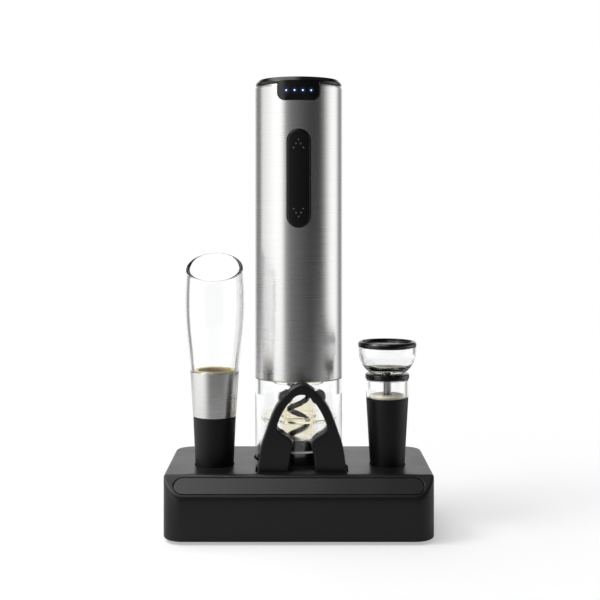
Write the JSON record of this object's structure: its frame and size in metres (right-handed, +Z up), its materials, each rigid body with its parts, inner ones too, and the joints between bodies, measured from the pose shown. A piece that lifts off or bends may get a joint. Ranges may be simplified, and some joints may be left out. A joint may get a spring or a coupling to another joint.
{
  "type": "electric wine opener",
  "caption": "Cordless electric wine opener on a stand that also holds an aerating pourer, a vacuum pump stopper and a foil cutter.",
  "frame": {"origin": "centre of the stand's footprint, at the level of the feet", "axes": "+Z up, front towards -Y, +X to the viewer's right"},
  "size_m": [0.144, 0.086, 0.25],
  "materials": {
    "satin_black": "satin moulded black plastic",
    "gloss_black": "glossy black plastic",
    "cast_iron": "plain casting",
    "black_rubber": "smooth matt black rubber",
    "dark_steel": "plain machined steel",
    "worm_steel": "dark non-stick coated steel",
    "brushed_steel": "brushed round the tube",
    "led_lens": "lit white-blue lens",
    "circuit_board": "green solder mask",
    "cell_wrap": "shrink wrapped cell",
    "white_nylon": "natural nylon",
    "clear_plastic": "clear moulded plastic",
    "clear_glass": "clear, polished"
  },
  "bodies": {
    "stand": {"stand_shell": "satin_black", "stand_panel": "satin_black", "stand_bottom_cover": "satin_black", "ballast_weight": "cast_iron", "rubber_foot_1": "black_rubber", "rubber_foot_2": "black_rubber", "rubber_foot_3": "black_rubber", "rubber_foot_4": "black_rubber", "cover_screw_1": "dark_steel", "cover_screw_2": "dark_steel", "cover_screw_3": "dark_steel", "cover_screw_4": "dark_steel"},
    "opener": {"outer_shell": "brushed_steel", "top_cap": "gloss_black", "led_1": "led_lens", "led_2": "led_lens", "led_3": "led_lens", "led_4": "led_lens", "led_board": "circuit_board", "rocker_axle": "dark_steel", "chassis_front": "satin_black", "chassis_rear": "satin_black", "battery_cell_1": "cell_wrap", "battery_cell_2": "cell_wrap", "battery_cradle": "white_nylon", "control_board": "circuit_board", "up_switch": "satin_black", "down_switch": "satin_black", "charging_port": "dark_steel", "motor_can": "dark_steel", "ring_gear_housing": "white_nylon", "cork_chamber": "clear_plastic", "neck_guide": "clear_plastic", "clear_sleeve": "clear_plastic"},
    "worm_guide": {"worm_guide": "clear_plastic"},
    "rocker": {"rocker_button": "satin_black"},
    "worm_drive": {"planet_carrier": "dark_steel", "worm_chuck": "satin_black", "worm": "worm_steel"},
    "motor_rotor": {"sun_gear": "dark_steel"},
    "planet_1": {"planet_gear_1": "white_nylon"},
    "planet_2": {"planet_gear_2": "white_nylon"},
    "planet_3": {"planet_gear_3": "white_nylon"},
    "aerator": {"aerator_stopper": "black_rubber", "aerator_ring": "brushed_steel", "aerator_glass": "clear_glass", "aerator_core": "clear_plastic"},
    "vacuum_pump": {"vacuum_stopper": "black_rubber", "pump_tube": "clear_plastic", "pump_collar": "satin_black"},
    "pump_knob": {"knob_bowl": "clear_plastic", "knob_lid": "satin_black", "pump_rod": "dark_steel", "pump_piston": "black_rubber"},
    "foil_cutter": {"cutter_body": "satin_black"},
    "wheel_1": {"cutting_wheel_1": "brushed_steel"},
    "wheel_2": {"cutting_wheel_2": "brushed_steel"},
    "wheel_3": {"cutting_wheel_3": "brushed_steel"},
    "wheel_4": {"cutting_wheel_4": "brushed_steel"}
  },
  "joints": [
    {"name": "opener_lift", "type": "slide", "parent": "stand", "child": "opener", "axis": [0, 0, 1], "range_m": [0, 0.06]},
    {"name": "aerator_lift", "type": "slide", "parent": "stand", "child": "aerator", "axis": [0, 0, 1], "range_m": [0, 0.05]},
    {"name": "vacuum_pump_lift", "type": "slide", "parent": "stand", "child": "vacuum_pump", "axis": [0, 0, 1], "range_m": [0, 0.05]},
    {"name": "foil_cutter_lift", "type": "slide", "parent": "stand", "child": "foil_cutter", "axis": [0, 0, 1], "range_m": [0, 0.03]},
    {"name": "rocker_tilt", "type": "hinge", "parent": "opener", "child": "rocker", "pos_m": [0, -0.0071, 0.1934], "axis": [1, 0, 0], "range_deg": [-3, 3], "stiffness_Nm_per_rad": 0.05},
    {"name": "worm_guide_rise", "type": "slide", "parent": "opener", "child": "worm_guide", "axis": [0, 0, 1], "range_m": [0, 0.018]},
    {"name": "worm_spin", "type": "hinge", "parent": "opener", "child": "worm_drive", "pos_m": [0, 0.0137, 0.1], "axis": [0, 0, 1], "continuous": true},
    {"name": "motor_spin", "type": "hinge", "parent": "opener", "child": "motor_rotor", "pos_m": [0, 0.0137, 0.12], "axis": [0, 0, 1], "continuous": true},
    {"name": "planet_1_spin", "type": "hinge", "parent": "worm_drive", "child": "planet_1", "pos_m": [0.012, 0.0137, 0.12], "axis": [0, 0, 1], "continuous": true},
    {"name": "planet_2_spin", "type": "hinge", "parent": "worm_drive", "child": "planet_2", "pos_m": [-0.006, 0.02409, 0.12], "axis": [0, 0, 1], "continuous": true},
    {"name": "planet_3_spin", "type": "hinge", "parent": "worm_drive", "child": "planet_3", "pos_m": [-0.006, 0.00331, 0.12], "axis": [0, 0, 1], "continuous": true},
    {"name": "pump_stroke", "type": "slide", "parent": "vacuum_pump", "child": "pump_knob", "axis": [0, 0, 1], "range_m": [0, 0.02]},
    {"name": "cutting_wheel_1_spin", "type": "hinge", "parent": "foil_cutter", "child": "wheel_1", "pos_m": [-0.0072, -0.0203, 0.0744], "axis": [0, 1, 0], "continuous": true},
    {"name": "cutting_wheel_2_spin", "type": "hinge", "parent": "foil_cutter", "child": "wheel_2", "pos_m": [0.0106, -0.0203, 0.0744], "axis": [0, 1, 0], "continuous": true},
    {"name": "cutting_wheel_3_spin", "type": "hinge", "parent": "foil_cutter", "child": "wheel_3", "pos_m": [-0.0101, -0.0203, 0.0537], "axis": [0, 1, 0], "continuous": true},
    {"name": "cutting_wheel_4_spin", "type": "hinge", "parent": "foil_cutter", "child": "wheel_4", "pos_m": [0.0135, -0.0203, 0.0537], "axis": [0, 1, 0], "continuous": true}
  ],
  "couplings": [
    {"joint": "motor_spin", "follows": "worm_spin", "ratio": 4},
    {"joint": "planet_1_spin", "follows": "worm_spin", "ratio": -3},
    {"joint": "planet_2_spin", "follows": "worm_spin", "ratio": -3},
    {"joint": "planet_3_spin", "follows": "worm_spin", "ratio": -3}
  ]
}
